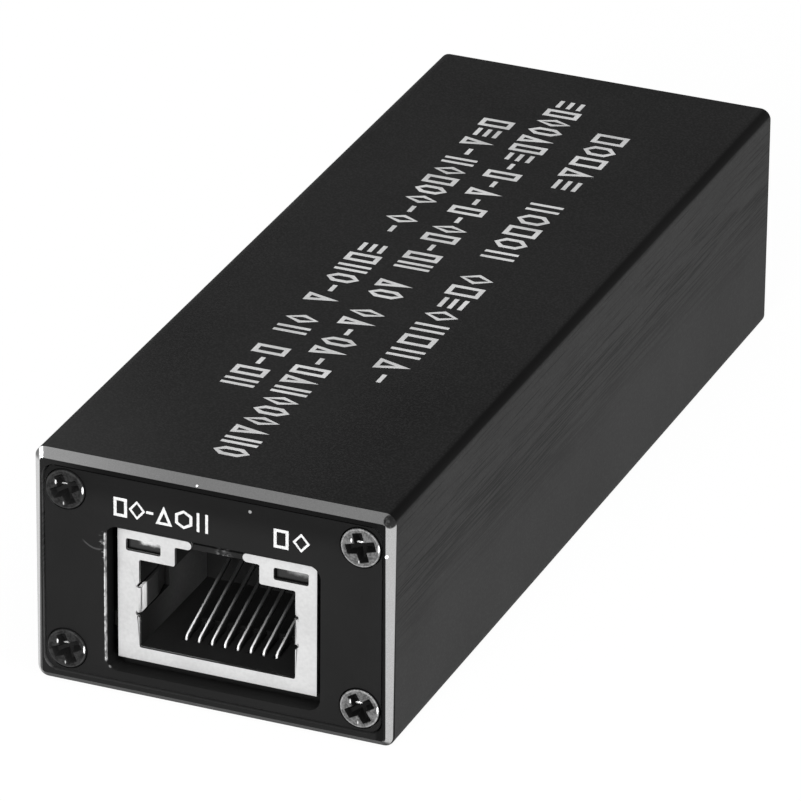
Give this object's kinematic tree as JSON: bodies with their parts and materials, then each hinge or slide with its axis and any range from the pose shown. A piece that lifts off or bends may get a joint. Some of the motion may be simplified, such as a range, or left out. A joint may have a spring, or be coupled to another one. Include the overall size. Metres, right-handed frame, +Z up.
{
  "type": "fibre media converter",
  "caption": "Pocket-size fibre media converter: black extruded metal tube with screwed end plates, a shielded network jack in front, an optical module slot and upright power socket behind.",
  "frame": {"origin": "centre of the footprint, on the surface the housing rests on", "axes": "+X across the width, to the right seen from the jack's end; +Y along the length from the network jack to the optical module slot; +Z up"},
  "size_m": [0.028, 0.0776, 0.0186],
  "materials": {
    "black_anodised_tube": "fine matte black anodising",
    "black_anodised_plate": "fine matte black anodising",
    "screw_steel": "dark plated steel",
    "board_laminate": "solder mask over glass laminate",
    "jack_metal": "matt nickel plate",
    "black_plastic": "moulded",
    "contact_metal": "gold plated spring metal",
    "lamp_lens": "milky moulded lens",
    "tinned_metal": "tinned",
    "cage_metal": "bright nickel plate",
    "spring_metal": "spring temper, nickel plate",
    "moulded_package": "moulded epoxy",
    "ferrite": "sintered ferrite",
    "ceramic": "sintered ceramic"
  },
  "bodies": {
    "root": {"housing": "black_anodised_tube", "front_plate": "black_anodised_plate", "rear_plate": "black_anodised_plate", "main_board": "board_laminate", "jack_shield": "jack_metal", "jack_insulator": "black_plastic", "jack_contacts": "contact_metal", "contact_insert": "black_plastic", "indicator_lamp_left": "lamp_lens", "indicator_lamp_right": "lamp_lens", "lamp_leads": "tinned_metal", "sfp_cage": "cage_metal", "sfp_ground_fingers": "spring_metal", "sfp_contacts": "contact_metal", "sfp_connector": "black_plastic", "usb_shell": "cage_metal", "usb_insulator": "black_plastic", "usb_contacts": "contact_metal", "magnetics": "moulded_package", "converter_chip": "moulded_package", "memory_chip": "moulded_package", "crystal": "tinned_metal", "regulator": "moulded_package", "power_inductor": "ferrite", "protection_diode": "moulded_package", "input_fuse": "moulded_package", "board_capacitors": "ceramic", "board_resistors": "moulded_package", "front_screw_top_left": "screw_steel", "front_screw_top_right": "screw_steel", "front_screw_bottom_left": "screw_steel", "front_screw_bottom_right": "screw_steel", "rear_screw_top_left": "screw_steel", "rear_screw_top_right": "screw_steel", "rear_screw_bottom_left": "screw_steel", "rear_screw_bottom_right": "screw_steel"}
  },
  "joints": []
}
